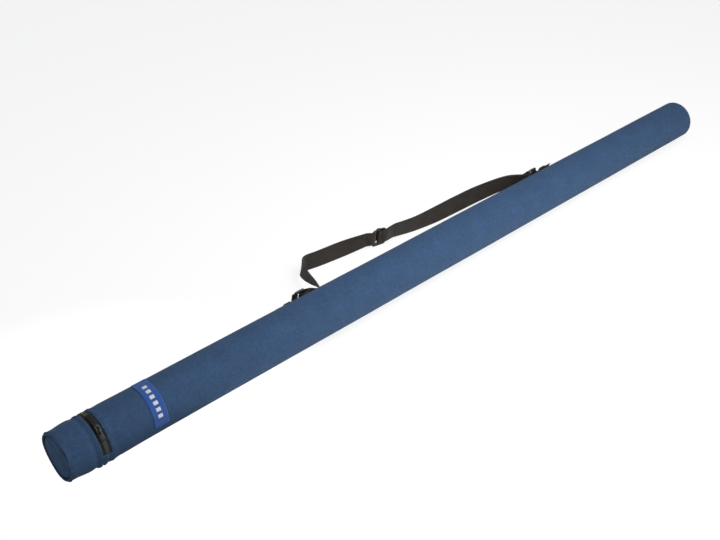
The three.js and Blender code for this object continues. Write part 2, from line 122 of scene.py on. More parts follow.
class Skin:
    """Closed lofts gathered into one mesh, with a UV map in metres."""

    def __init__(self):
        self.verts = []
        self.faces = []
        self.uvs = []

    def loft(self, sections, ring=False):
        """Joins closed outlines of the same number of points, one after another."""
        first = len(self.verts)
        size = len(sections[0])
        for section in sections:
            self.verts.extend(section)
        around = [0.0]
        longest = sections[len(sections) // 2]
        for k in range(size):
            around.append(around[-1] + (longest[(k + 1) % size] - longest[k]).length)
        along = [0.0]
        for a, b in zip(sections, sections[1:] + sections[:1]):
            along.append(along[-1] + (b[0] - a[0]).length)
        for i in range(len(sections) if ring else len(sections) - 1):
            here = first + i * size
            there = first + ((i + 1) % len(sections)) * size
            for k in range(size):
                n = (k + 1) % size
                self.faces.append((here + k, here + n, there + n, there + k))
                self.uvs += [
                    (around[k], along[i]),
                    (around[k + 1], along[i]),
                    (around[k + 1], along[i + 1]),
                    (around[k], along[i + 1]),
                ]
        if not ring:
            last = len(self.verts)
            for end in (range(first, first + size)[::-1], range(last - size, last)):
                self.faces.append(tuple(end))
                self.uvs += [(around[v % size], 0.0) for v in range(size)]
        return self

    def piece(self, name, look, body=None, replaces=()):
        material, slot = LOOKS[look]
        mesh = bpy.data.meshes.new(name)
        mesh.from_pydata([tuple(v) for v in self.verts], [], self.faces)
        layer = mesh.uv_layers.new(name="weave")
        layer.data.foreach_set("uv", [c for uv in self.uvs for c in uv])
        mesh.polygons.foreach_set("use_smooth", [True] * len(mesh.polygons))
        mesh.materials.append(material)
        obj = bpy.data.objects.new(name, mesh)
        bpy.context.scene.collection.objects.link(obj)
        rework(mesh, outward_normals)
        if body:
            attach(obj, body)
        if replaces:
            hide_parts(*replaces)
        return obj


def rework(mesh, change):
    work = bmesh.new()
    work.from_mesh(mesh)
    change(work)
    work.to_mesh(mesh)
    work.free()


def outward_normals(work):
    bmesh.ops.recalc_face_normals(work, faces=work.faces)


def sharp_corners(work):
    """Keeps smooth shading off the real corners of a hard piece."""
    for edge in work.edges:
        if len(edge.link_faces) == 2 and edge.calc_face_angle(0) > radians(35):
            edge.smooth = False


def rounded_box(width, height, corner, per_corner=3):
    """Outline of a rounded rectangle as (across, up) pairs, counter-clockwise."""
    corner = min(corner, width / 2, height / 2)
    points = []
    for sx, sy, start in ((1, 1, 0), (-1, 1, 90), (-1, -1, 180), (1, -1, 270)):
        cx, cy = sx * (width / 2 - corner), sy * (height / 2 - corner)
        for i in range(per_corner + 1):
            a = radians(start + 90 * i / per_corner)
            points.append((cx + corner * cos(a), cy + corner * sin(a)))
    return points


def turned(profile, steps, shape=None, span=(0, 360)):
    """Skin of a profile of (x, radius) points turned about the tube's axis."""
    whole = span[1] - span[0] >= 360
    count = steps if whole else steps + 1
    sections = []
    for i in range(count):
        angle = span[0] + (span[1] - span[0]) * i / steps
        section = []
        for x, radius in profile:
            dx, dr = shape(x, angle, radius) if shape else (0, 0)
            section.append(on_tube(x + dx, angle, radius + dr))
        sections.append(section)
    return Skin().loft(sections, ring=whole)


# ---- materials


class Nodes:
    """Short names for the shader nodes that the materials share."""

    def __init__(self, name):
        self.material = bpy.data.materials.new(name)
        self.material.use_nodes = True
        self.tree = self.material.node_tree
        self.shader = self.tree.nodes["Principled BSDF"]
        self.place = self.add("TexCoord").outputs["Object"]

    def link(self, value, socket):
        if isinstance(value, bpy.types.NodeSocket):
            self.tree.links.new(value, socket)
        else:
            socket.default_value = value

    def add(self, kind, *values, **inputs):
        """A shader node with its inputs linked or set, by their order or by name."""
        node = self.tree.nodes.new("ShaderNode" + kind)
        for i, value in enumerate(values):
            self.link(value, node.inputs[i])
        for key, value in inputs.items():
            self.link(value, node.inputs[key.replace("_", " ")])
        return node

    def math(self, operation, a, b=0.0, c=0.0):
        node = self.add("Math", a, b, c)
        node.operation = operation
        return node.outputs[0]

    def noise(self, scale, detail=3.0, roughness=0.5, vector=None):
        place = vector or self.place
        node = self.add("TexNoise", Vector=place, Scale=scale, Detail=detail, Roughness=roughness)
        return node.outputs["Fac"]

    def greys(self, factor, start, end):
        """A grey that runs between two stops, each a (factor, grey) pair."""
        node = self.add("ValToRGB", factor)
        for element, (position, grey) in zip(node.color_ramp.elements, (start, end)):
            element.position = position
            element.color = (grey, grey, grey, 1)
        return node.outputs["Color"]

    def mix(self, factor, a, b, blend="MIX"):
        node = self.tree.nodes.new("ShaderNodeMix")
        node.data_type = "RGBA"
        node.blend_type = blend
        self.link(factor, node.inputs["Factor"])
        for value, key in ((a, "A"), (b, "B")):
            self.link(value if isinstance(value, bpy.types.NodeSocket) else (*value, 1), node.inputs[key])
        return node.outputs["Result"]

    def tinted(self, factor, colour, dark, light):
        return self.mix(factor, shade(colour, dark), shade(colour, light))

    def shaded(self, base, factor, start, end, amount=1.0):
        return self.mix(amount, base, self.greys(factor, start, end), "MULTIPLY")

    def finish(self, colour, roughness, height=None, depth=0.0, **inputs):
        self.link(colour, self.shader.inputs["Base Color"])
        self.link(roughness, self.shader.inputs["Roughness"])
        for key, value in inputs.items():
            self.shader.inputs[key.replace("_", " ")].default_value = value
        if height is not None:
            bump = self.add("Bump", Strength=1.0, Distance=depth, Height=height)
            self.tree.links.new(bump.outputs["Normal"], self.shader.inputs["Normal"])
        return self.material


class Woven(Nodes):
    """Nodes of a piece whose UV map, in metres, runs across and along its yarns."""

    def __init__(self, name):
        super().__init__(name)
        weave = self.add("UVMap")
        weave.uv_map = "weave"
        self.uv = weave.outputs["UV"]
        split = self.add("SeparateXYZ", self.uv)
        self.across, self.along = split.outputs["X"], split.outputs["Y"]

    def wave(self, value, period):
        return self.math("SINE", self.math("MULTIPLY", value, 2 * pi / period))

    def yarns(self, x, y):
        """Noise drawn out along the yarns, at x and y spots a metre."""
        drawn_out = self.add("Mapping", Vector=self.uv, Scale=(x, y, 1.0))
        return self.noise(1.0, 2.0, vector=drawn_out.outputs["Vector"])


def shade(colour, factor):
    return tuple(min(1.0, c * factor) for c in colour)


def plain_weave(name, colour, pitch, depth, mottle):
    """Canvas: each yarn passes over and under, with slubs and soft patches of wear."""
    n = Woven(name)
    weave = n.math("MULTIPLY", n.wave(n.across, pitch), n.wave(n.along, pitch))
    threads = n.math("ADD", n.yarns(2600, 260), n.yarns(260, 2600))
    # painted shade: the yarns are darker where they dip under and lighter where they cross over
    base = n.tinted(n.math("MULTIPLY_ADD", weave, 0.5, 0.5), colour, 0.72, 1.12)
    for patches, spread in ((n.noise(28.0, 4.0, 0.6), mottle), (n.noise(210.0, 3.0, 0.65), 1.6 * mottle)):
        base = n.shaded(base, patches, (0.3, 1 - spread), (0.7, 1 + spread))
    base = n.shaded(base, threads, (0.35, 0.86), (0.95, 1.0), 0.8)
    base = n.shaded(base, n.noise(900.0, 2.0, 0.7), (0.62, 1.0), (0.8, 1.22))
    rise = n.math("MULTIPLY_ADD", threads, 0.9, weave)
    cool = {"Sheen_Weight": 0.12, "Sheen_Roughness": 0.45, "Sheen_Tint": (0.4, 0.65, 1.0, 1.0)}
    return n.finish(base, 0.82, rise, depth, Specular_IOR_Level=0.28, **cool)


def webbing(name, colour):
    """Heavy narrow webbing: ribs across, each broken into a chevron of yarns."""
    n = Woven(name)
    rib = n.math("ABSOLUTE", n.wave(n.across, 2.9 * MM))
    slant = n.math("MULTIPLY_ADD", n.wave(n.across, 5.8 * MM), 0.35 * MM, n.along)
    yarn = n.math("ABSOLUTE", n.wave(slant, 2.6 * MM))
    rise = n.math("MULTIPLY_ADD", n.noise(2200.0, 3.0, 0.7), 0.35, n.math("MULTIPLY", rib, yarn))
    # painted shade and highlight: the colour follows the rise, darker in the grooves between ribs and
    # lighter on their crests
    base = n.tinted(rise, colour, 0.45, 1.35)
    base = n.shaded(base, n.noise(45.0, 3.0, 0.6), (0.3, 0.82), (0.75, 1.22))
    sheen = {"Sheen_Weight": 0.12, "Sheen_Roughness": 0.4}
    return n.finish(base, 0.68, rise, 0.32 * MM, Specular_IOR_Level=0.3, **sheen)


def zip_tape(name, colour):
    n = Woven(name)
    slant = n.math("ADD", n.along, n.across)
    twill = n.math("MULTIPLY", n.wave(slant, 0.7 * MM), n.wave(n.across, 0.9 * MM))
    fuzz = n.noise(2500.0, 2.0, 0.7)
    base = n.tinted(fuzz, colour, 0.6, 1.4)
    rise = n.math("ADD", twill, fuzz)
    return n.finish(base, 0.85, rise, 0.12 * MM, Specular_IOR_Level=0.25, Sheen_Weight=0.15)


def moulded(name, colour, roughness, grain, metallic=0.0):
    """Moulded plastic or enamelled metal, with fine grain and a painted highlight on its convex edges."""
    n = Nodes(name)
    soft = n.noise(120.0, 4.0, 0.6)
    # painted highlight: a lighter colour is mixed in along the sharp convex edges
    edge = n.greys(n.add("NewGeometry").outputs["Pointiness"], (0.52, 0.0), (0.6, 1.0))
    edge_highlight = tuple(c * 1.6 + 0.06 for c in colour)
    base = n.mix(n.math("MULTIPLY", edge, 0.5), n.tinted(soft, colour, 0.8, 1.25), edge_highlight)
    gloss = n.math("MULTIPLY_ADD", soft, 0.16, roughness - 0.08)
    fine = n.noise(3200.0, 3.0, 0.6)
    return n.finish(base, gloss, fine, grain, Metallic=metallic, Specular_IOR_Level=0.5)


def thread(name, colour):
    n = Woven(name)
    twist = n.wave(n.math("MULTIPLY_ADD", n.across, 0.8, n.along), 0.45 * MM)
    base = n.tinted(n.noise(1500.0, 2.0), colour, 0.75, 1.3)
    return n.finish(base, 0.6, twist, 0.05 * MM, Specular_IOR_Level=0.4, Sheen_Weight=0.2)


def foam(name, colour):
    n = Nodes(name)
    cells = n.add("TexVoronoi", Vector=n.place, Scale=1400.0).outputs["Distance"]
    # painted shade: the colour follows the cells' height, darker down in each pore
    base = n.tinted(cells, colour, 0.6, 1.4)
    return n.finish(base, 0.95, cells, 0.3 * MM, Specular_IOR_Level=0.2)


def satin_label(name, colour):
    n = Woven(name)
    picks = n.yarns(300, 3000)
    base = n.tinted(picks, colour, 0.8, 1.2)
    rise = n.math("ADD", n.wave(n.along, 0.35 * MM), picks)
    return n.finish(base, 0.5, rise, 0.05 * MM, Specular_IOR_Level=0.45, Sheen_Weight=0.2)


BLUE = (0.034, 0.078, 0.166)
BLACK_WEB = (0.030, 0.024, 0.019)
BLUE_THREAD = thread("blue_thread", shade(BLUE, 0.9))
# What each piece is made of, and the slot it belongs to.
LOOKS = {
    "fabric": (plain_weave("blue_canvas", BLUE, 1.05 * MM, 0.13 * MM, 0.1), "blue_fabric"),
    "binding": (plain_weave("blue_binding", shade(BLUE, 0.85), 0.8 * MM, 0.08 * MM, 0.12), "blue_fabric"),
    "webbing": (webbing("black_webbing", BLACK_WEB), "webbing"),
    "tape": (zip_tape("black_zip_tape", (0.017, 0.016, 0.014)), "zip_tape"),
    "coil": (moulded("nylon_coil", (0.016, 0.014, 0.013), 0.36, 0.01 * MM), "zip_teeth"),
    "metal": (moulded("black_enamel", (0.016, 0.016, 0.017), 0.38, 0.015 * MM, 0.35), "dark_metal"),
    "plastic": (moulded("black_acetal", (0.018, 0.018, 0.019), 0.42, 0.03 * MM), "moulded_plastic"),
    "liner": (moulded("grey_tube", (0.05, 0.052, 0.056), 0.5, 0.04 * MM), "liner"),
    "foam": (foam("grey_foam", (0.05, 0.053, 0.058)), "foam"),
    "label": (satin_label("blue_label", (0.006, 0.075, 0.33)), "label"),
    "label_mark": (satin_label("white_label_thread", (0.72, 0.74, 0.76)), "label"),
    "blue_thread": (BLUE_THREAD, "blue_fabric"),
    "label_thread": (BLUE_THREAD, "label"),
    "black_thread": (thread("black_thread", (0.03, 0.028, 0.026)), "webbing"),
}


# ---- fabric surface


def ripple(x, angle):
    """Slack of cloth over a stiff tube: long shallow swells with fine creases."""
    a = radians(angle)
    c, s = cos(a), sin(a)
    swell = noise.noise(Vector((x * 7, 1.7 * c, 1.7 * s)))
    crease = noise.noise(Vector((x * 38, 5.5 * c + 4, 5.5 * s)))
    return 0.30 * MM * swell + 0.09 * MM * crease


def pucker(angle, distance, pitch=7.5 * MM, reach=9 * MM):
    """Gathers that a row of stitches draws in the cloth beside it."""
    a = radians(angle)
    wander = noise.noise(Vector((3 * cos(a), 3 * sin(a), 7.0)))
    gather = sin(2 * pi * a * COVER_R / pitch + 5 * wander)
    return 0.26 * MM * gather * (0.6 + 0.6 * wander) * exp(-((distance / reach) ** 2))


HINGE_MIDDLE = sum(HINGE_SPAN) / 2


def past_hinge(angle):
    """Degrees from the middle of the fabric hinge, from -180 to 180."""
    return (angle - HINGE_MIDDLE + 180) % 360 - 180


def fold_lump(angle, from_hem, middle, width, height):
    """Spare cloth bunched beside the fabric hinge."""
    return height * bell(past_hinge(angle), -10, 15) * bell(from_hem, middle, width)


def slack(x, angle):
    """The cover hangs loose beside the hinge, further along the body than along the lid."""
    reach = 26 * MM if x < ZIP_X else 40 * MM
    return 1.2 * MM * bell(past_hinge(angle), -8, 15) * bell(x, ZIP_X, reach)


STITCH_PITCH = 3.2 * MM
HEM_STITCH = 4.6 * MM


def hem(angle, distance):
    """A folded edge: thicker to its row of stitches, which pull it down between tufts."""
    arc = radians(angle) * COVER_R
    fold = 0.5 * MM * (1 - smooth(5.2 * MM, 7.2 * MM, distance))
    tuft = 0.65 + 0.35 * cos(2 * pi * arc / STITCH_PITCH)
    row = -0.55 * MM * tuft * bell(distance, HEM_STITCH, 0.75 * MM)
    roll = -0.5 * MM * bell(distance, 0.0, 1.1 * MM)
    return fold + row + roll


HEXAGON = [(cos(pi * k / 3), sin(pi * k / 3)) for k in range(6)]


def stitches(skin, spots, length=2.5 * MM, width=0.55 * MM):
    """Short raised threads: each spot is (middle, direction, outward)."""
    rise = 0.34 * MM
    for middle, direction, up in spots:
        side = direction.cross(up)
        sections = []
        for i in range(7):
            t = -1 + i / 3
            swell = sqrt(max(0.02, 1 - t * t))
            centre = middle + direction * (t * length / 2) + up * (rise * (0.9 * swell - 0.4))
            wide, high_up = width / 2 * (0.4 + 0.6 * swell), width / 2 * swell
            sections.append([centre + side * (c * wide) + up * (s * high_up) for c, s in HEXAGON])
        skin.loft(sections)


def hem_stitches(x, surface):
    """A row of stitches round a cover's hem."""
    count = int(2 * pi * COVER_R / STITCH_PITCH)
    spots = []
    for i in range(count):
        angle = 360 * (i + 0.5) / count
        radius = COVER_R + surface(x, angle, COVER_R)[1] + 0.22 * MM
        spots.append((on_tube(x, angle, radius), round_way(angle), outward(angle)))
    skin = Skin()
    stitches(skin, spots)
    return skin


SEAM_ANGLE = 208.0


def long_seam(angle, x):
    """The cover's lapped long seam, low on the back."""
    arc = radians(angle - SEAM_ANGLE) * COVER_R
    lap = 0.45 * MM * smooth(-0.8 * MM, 0.8 * MM, arc) * (1 - smooth(9 * MM, 11 * MM, arc))
    tuft = 0.6 + 0.4 * cos(2 * pi * x / STITCH_PITCH)
    row = -0.4 * MM * tuft * (bell(arc, 2.5 * MM, 0.8 * MM) + bell(arc, 7.5 * MM, 0.8 * MM))
    return lap + row


def lift_off_floor(angle, radius):
    """Cloth under the tube is pressed flat by the case's weight."""
    down = -sin(radians(angle)) * radius
    extra = down - AXIS_Z
    return -extra if extra > 0 else 0.0


# ---- the body's cover


def body_surface(x, angle, radius):
    if radius < COVER_R - 0.3 * MM:
        return 0, 0
    from_hem = x - BODY_HEM
    to_end = CLOSED_END - x
    dr = ripple(x, angle) + long_seam(angle, x) * smooth(3 * MM, 9 * MM, from_hem)
    dr += hem(angle, from_hem) + pucker(angle, from_hem - HEM_STITCH)
    dr += pucker(angle + 40, to_end, 8.5 * MM, 11 * MM)
    dr += -0.45 * MM * bell(from_hem, 11 * MM, 6 * MM)
    dr += fold_lump(angle, from_hem, 7 * MM, 5 * MM, 0.9 * MM) + slack(x, angle)
    return 0, dr + lift_off_floor(angle, radius + dr)


def sleeve_profile(start, end, outer_xs):
    """Closed outline of a thin sleeve: along the outside, round the edges, and back."""
    edge = COVER_T / 2

    def half_turn(x, first_angle):
        turn = []
        for i in range(1, 5):
            a = radians(first_angle - 180 * i / 5)
            turn.append((x + edge * cos(a), COVER_IN_R + edge + edge * sin(a)))
        return turn

    outside = [(x, COVER_R) for x in outer_xs]
    inside = [(x, COVER_IN_R) for x in spaced(end - edge, start + edge, 60 * MM)]
    return outside + half_turn(end - edge, 90) + inside + half_turn(start + edge, 270)


def cover(name, body, start, end, outer_xs, surface, stitch_x):
    """A cloth sleeve, and the skin of the stitches round its hem."""
    profile = sleeve_profile(start, end, outer_xs)
    skin = turned(profile, COVER_STEPS, surface)
    skin.piece(f"{name}_cover", "fabric", body, [f"{name}_sleeve"])
    return hem_stitches(stitch_x, surface)


def body_sleeve():
    end = high("body_sleeve").x
    edge = COVER_T / 2
    near = spaced(BODY_HEM + edge, BODY_HEM + 24 * MM, 0.8 * MM)
    middle = spaced(BODY_HEM + 24 * MM, end - 40 * MM, 7 * MM)
    far = spaced(end - 40 * MM, end - edge, 1.6 * MM)
    xs = near + middle[1:] + far[1:]
    threads = cover("body", BODY, BODY_HEM, end, xs, body_surface, BODY_HEM + HEM_STITCH)
    for arc in (2.5 * MM, 7.5 * MM):
        angle = SEAM_ANGLE + degrees(arc / COVER_R)
        spots = []
        for x in spaced(BODY_HEM + 12 * MM, end - 6 * MM, STITCH_PITCH):
            radius = COVER_R + body_surface(x, angle, COVER_R)[1] + 0.1 * MM
            spots.append((on_tube(x, angle, radius), TUBE_WAY, outward(angle)))
        stitches(threads, spots)
    threads.piece("body_cover_stitching", "blue_thread", BODY)


# ---- the lid's cover


def lid_surface(x, angle, radius):
    if radius < COVER_R - 0.3 * MM:
        return 0, 0
    to_hem = LID_HEM - x
    from_end = x - LID_END
    near_end = 1 - smooth(0, 34 * MM, from_end)
    boxy = (1.15 * MM * cos(4 * radians(angle)) - 1.0 * MM) * near_end
    taper = -1.3 * MM * (1 - smooth(0, 7 * MM, from_end)) ** 2
    dr = ripple(x + 1.3, angle) * 1.5 + boxy + taper
    dr += hem(angle, to_hem) + pucker(angle + 15, to_hem - HEM_STITCH)
    dr += pucker(angle + 70, from_end, 9 * MM, 10 * MM)
    dr += -1.2 * MM * bell(to_hem, 8 * MM, 5 * MM) + 0.35 * MM * bell(to_hem, 26 * MM, 12 * MM)
    dr += fold_lump(angle, to_hem, 1.0 * MM, 5.5 * MM, 1.5 * MM) + slack(x, angle)
    return 0, dr + lift_off_floor(angle, radius + dr)


def lid_sleeve():
    start = low("lid_sleeve").x
    edge = COVER_T / 2
    xs = spaced(start + edge, LID_HEM - edge, 1.0 * MM)
    threads = cover("lid", LID, start, LID_HEM, xs, lid_surface, LID_HEM - HEM_STITCH)
    threads.piece("lid_cover_stitching", "blue_thread", LID)


# ---- padded ends


CENTRE_HOLE = 0.4 * MM


def end_piece(name, face_x, inward, body, surface, seed):
    """A crowned fabric disc set in a rolled, bound seam. inward is +1 or -1 along X."""
    roll_r = 1.9 * MM
    middle_r = COVER_R - roll_r + 0.1 * MM

    def roll_shape(x, angle, radius):
        dr = surface(face_x + inward * 5 * MM, angle, COVER_R)[1] * 0.9
        dr += 0.18 * MM * sin(2 * pi * radians(angle) * COVER_R / (5.5 * MM))
        return 0, dr

    section = []
    for k in range(16):
        a = 2 * pi * k / 16
        x = face_x + inward * (roll_r + 0.4 * MM + 1.15 * roll_r * cos(a))
        section.append((x, middle_r + roll_r * sin(a)))
    skin = turned(section, COVER_STEPS, roll_shape)
    skin.piece(f"{name}_roll", "binding", body, [f"{name}_piping"])

    disc_r = COVER_R - 3.6 * MM
    profile = []
    for radius in spaced(CENTRE_HOLE, disc_r, 1.1 * MM):
        t = radius / disc_r
        crown = 0.2 * MM + 1.5 * MM * t**4 + 2.6 * MM * smooth(0.9, 1.0, t)
        profile.append((face_x + inward * crown, radius))
    back = [(face_x + inward * 3.6 * MM, radius) for radius in (disc_r, CENTRE_HOLE)]

    def disc_shape(x, angle, radius):
        t = radius / disc_r
        dr = surface(face_x + inward * 4 * MM, angle, COVER_R)[1] * t
        if abs(x - face_x) > 3.3 * MM and t < 0.5:
            return 0, dr
        a = radians(angle)
        y, z = radius * cos(a), radius * sin(a)
        swell = noise.noise(Vector((y * 45, z * 45, seed))) * 0.6 * MM * (1 - t**3)
        fold = y * 0.52 + z * 0.85 - 9 * MM + 3 * MM * noise.noise(Vector((y * 60, seed, 0)))
        crease = (bell(fold, 0, 2.4 * MM) - 1.2 * bell(fold, 4 * MM, 2.8 * MM)) * 0.8 * MM
        wander = noise.noise(Vector((cos(a), sin(a), seed)))
        gather = 0.22 * MM * sin(19 * a + 5 * wander) * smooth(0.7, 0.97, t)
        return inward * (swell + gather + crease * (1 - t**4)), dr

    disc = turned(profile + back, 144, disc_shape).piece(f"{name}_face", "fabric", body, [f"{name}_panel"])


# ---- stiff tube and inside


def rounded_tube(name, node, body):
    start, end = ends(node)
    lip = 0.7 * MM
    profile = [(start + lip, LINER_R), (end - lip, LINER_R), (end, LINER_R - lip)]
    profile += [(end, BORE_R + lip), (end - lip, BORE_R), (start + lip, BORE_R)]
    profile += [(start, BORE_R + lip), (start, LINER_R - lip)]
    tube = turned(profile, 120).piece(name, "liner", body, [node])
    rework(tube.data, sharp_corners)


def thick_disc(name, node, radius, look, body, bulge=0.0):
    start, end = ends(node)
    edge = min(1.2 * MM, (end - start) / 3)
    profile = [(start - bulge, CENTRE_HOLE)]
    for r in spaced(4 * MM, radius - edge, 4 * MM):
        profile.append((start - bulge * (1 - (r / radius) ** 2), r))
    profile += [(start + edge * 0.3, radius - edge * 0.3), (start + edge, radius)]
    profile += [(end - edge, radius), (end, radius - edge), (end, CENTRE_HOLE)]
    return turned(profile, 96).piece(name, look, body, [node])


def inside_pieces():
    rounded_tube("tube_wall", "tube_liner", BODY)
    rounded_tube("lid_wall", "lid_liner", LID)
    bore = BORE_R - 0.2 * MM
    pads = [
        thick_disc("closed_end_pad", "end_foam_pad", bore, "foam", BODY, 1.0 * MM),
        thick_disc("lid_pad", "lid_foam_pad", bore, "foam", LID),
    ]
    thick_disc("closed_end_plug", "end_plug", bore, "plastic", BODY)
    thick_disc("lid_board", "lid_disc", LINER_R, "plastic", LID)


# ---- zip


TAPE_OUT_R = COVER_R - 0.9 * MM
TAPE_T = 0.45 * MM
TOOTH_PITCH = 1.7 * MM
TOOTH_R = 0.46 * MM
COIL_TOP_R = COVER_R + 0.3 * MM


def zip_half(owner, side, body):
    """Tape and coil on one side of the zip line: side is 1 on the body, -1 on the lid."""
    inner, outer = ZIP_X + side * 0.25 * MM, ZIP_X + side * 8.5 * MM
    across = spaced(inner, outer, 0.9 * MM)
    profile = [(x, TAPE_OUT_R) for x in across]
    profile += [(x, TAPE_OUT_R - TAPE_T) for x in reversed(across)]

    def tape_shape(x, angle, radius):
        d = abs(x - ZIP_X)
        rib = 0.18 * MM * bell(d, 3.4 * MM, 0.5 * MM) + 0.15 * MM * bell(d, 5.6 * MM, 0.4 * MM)
        wave = 0.12 * MM * noise.noise(Vector((radians(angle) * 9, side * 4.0, 2.0)))
        edge = -0.5 * MM * smooth(5.8 * MM, 7.2 * MM, d)
        dr = rib + wave + edge
        return 0, dr + lift_off_floor(angle, radius + dr)

    skin = turned(profile, 240, tape_shape, (ZIP_START, ZIP_END))
    skin.piece(f"zip_tape_{owner}", "tape", body, [f"zip_tape_{owner}"])

    coil = Skin()
    first, last = ZIP_START + 4.5, ZIP_END - 4.5
    count = int(radians(last - first) * COVER_R / TOOTH_PITCH)
    shift = 0.25 if side > 0 else 0.75
    for i in range(count):
        angle = first + (last - first) * (i + shift) / count
        coil_tooth(coil, angle, side)
    coil_cord(coil, first, last, side)
    coil.piece(f"zip_coil_{owner}", "coil", body, [f"zip_teeth_{owner}"])
    for end, angle in (("front", ZIP_START + 2.2), ("back", ZIP_END - 2.2)):
        zip_stop(f"zip_stop_{end}_{owner}", angle, side, body)


def coil_tooth(skin, angle, side):
    """One turn of the coil: up from the tape, over to the zip line, and down again."""
    top_r = COIL_TOP_R - TOOTH_R
    top_r += lift_off_floor(angle, COIL_TOP_R)
    base_r = min(TAPE_OUT_R + 0.25 * MM, top_r - 0.3 * MM)
    path = [(2.75, base_r), (2.85, (base_r + top_r) / 2), (2.45, top_r), (1.4, top_r + 0.05 * MM)]
    path += [(0.4, top_r), (-0.35, top_r - 0.15 * MM), (-0.6, (base_r + top_r) / 2), (-0.3, base_r)]
    sections = []
    for i, (d, radius) in enumerate(path):
        lean = 0.55 * (i / (len(path) - 1) - 0.5)
        here = angle + lean
        centre = on_tube(ZIP_X + side * d * MM, here, radius)
        before, after = path[max(0, i - 1)], path[min(len(path) - 1, i + 1)]
        direction = Vector((side * (after[0] - before[0]) * MM, 0, after[1] - before[1]))
        direction.normalize()
        normal = TUBE_WAY * -direction.z + outward(here) * direction.x
        wide = round_way(here) * (1.35 if i in (5, 6) else 1.0)
        sections.append([centre + (wide * c + normal * s) * TOOTH_R for c, s in HEXAGON])
    skin.loft(sections)


def coil_cord(skin, first, last, side):
    """The filler cord and lockstitch that hold the coil down on its tape."""
    for distance, rise, radius in ((1.9, 0.55, 0.5), (2.5, 1.0, 0.28)):
        outline = [(distance + c * radius, rise + s * radius) for c, s in HEXAGON]
        sections = []
        for i in range(361):
            angle = first + (last - first) * i / 360
            sections.append([
                on_tube(ZIP_X + side * d * MM, angle, TAPE_OUT_R + up * MM) for d, up in outline
            ])
        skin.loft(sections)


def zip_stop(name, angle, side, body):
    sections = []
    outline = rounded_box(2.5 * MM, 1.7 * MM, 0.5 * MM)
    for i in range(7):
        t = -1 + i / 3
        swell = (1 - abs(t) ** 4) ** 0.5 if abs(t) < 1 else 0.35
        here = angle + t * 1.5
        section = []
        for across, up in outline:
            x = ZIP_X + side * 1.5 * MM + across * (0.55 + 0.45 * swell)
            section.append(on_tube(x, here, COVER_R - 0.9 * MM + up * (0.5 + 0.5 * swell)))
        sections.append(section)
    Skin().loft(sections).piece(name + "_crimp", "metal", body, [name])


# ---- slider and pull tab


def swept_round(skin, angles, radii, outline_at, shift=0.0):
    """A bar along the zip line; outline_at gives its outline at 0, its start, to 1, its end."""
    points = [on_tube(ZIP_X, a, r) for a, r in zip(angles, radii)]
    last = len(points) - 1
    sections = []
    for i, point in enumerate(points):
        along = points[min(i + 1, last)] - points[max(i - 1, 0)]
        up = TUBE_WAY.cross(along).normalized()
        sections.append([point + TUBE_WAY * (shift + x) + up * y for x, y in outline_at(i / last)])
    skin.loft(sections)


# Half of the slider's top, as parts of its half width and of its height.
SLIDER_SHOULDER = [(0.35, 1.04), (0.75, 0.97), (0.93, 0.75), (1.0, 0.35)]


def zip_slider():
    half_w = (high("zip_slider").x - low("zip_slider").x) / 2
    middle, half = 43.0, 13.5
    inner = 38.2 * MM
    wall, gap = 1.05 * MM, 0.05 * MM
    skin = Skin()
    sections = []
    for i in range(25):
        t = -1 + i / 12
        angle = middle + half * t
        end = max(0.0, 1 - abs(t) ** 7) ** 0.5
        width = half_w * (0.80 + 0.20 * smooth(-0.1, 0.75, -t)) * (0.62 + 0.38 * end)
        crown = (1.35 + 0.35 * (1 - t * t)) * MM * (0.45 + 0.55 * end)
        lip = -1.0 * MM * (1 - smooth(0.7, 0.98, abs(t)))
        half_outline = [(width * w, crown * h) for w, h in SLIDER_SHOULDER]
        half_outline += [(width, lip), (width - wall, lip), (width - wall, gap)]
        mirrored = [(-x, up) for x, up in reversed(half_outline)]
        outline = [(0, crown * 1.06), *half_outline, (0, gap), *mirrored]
        sections.append([on_tube(ZIP_X + x, angle, inner + up) for x, up in outline])
    skin.loft(sections)
    bridge(skin)
    skin.piece("zip_slider_body", "metal", SLIDER, ["zip_slider"])


def bridge(skin):
    """The loop on the slider's back that the pull tab hangs from."""
    angles = [43.6, 43.9, 44.6, 46.0, 48.0, 50.0, 52.0, 53.8, 55.0, 55.7, 56.0]
    heights = [39.4, 41.2, 42.6, 43.3, 43.5, 43.5, 43.3, 42.6, 41.4, 40.2, 39.2]
    outline = rounded_box(2.4 * MM, 1.2 * MM, 0.5 * MM)
    swept_round(skin, angles, [h * MM for h in heights], lambda t: outline)


PIVOT_ANGLE, PIVOT_R = 49.3, 41.1 * MM
TAB_T = 1.35 * MM
TAB_END = 95.0


def tab_height(angle):
    return 41.05 * MM - 1.7 * MM * smooth(58, 78, angle)


def plate_outline(t):
    """Waisted near the arms, widest at the grip, with grooves across it and a round end."""
    width = (3.5 - 0.7 * smooth(0.05, 0.45, t) + 0.9 * smooth(0.45, 0.85, t)) * MM
    width *= 0.25 + 0.75 * sqrt(max(0.0, 1 - max(0.0, (t - 0.86) / 0.14) ** 2))
    groove = 0.22 * MM * (0.5 + 0.5 * cos(2 * pi * t * 9)) * smooth(0.5, 0.55, t)
    groove *= 1 - smooth(0.88, 0.92, t)
    return rounded_box(2 * width, TAB_T - groove, 0.5 * MM)


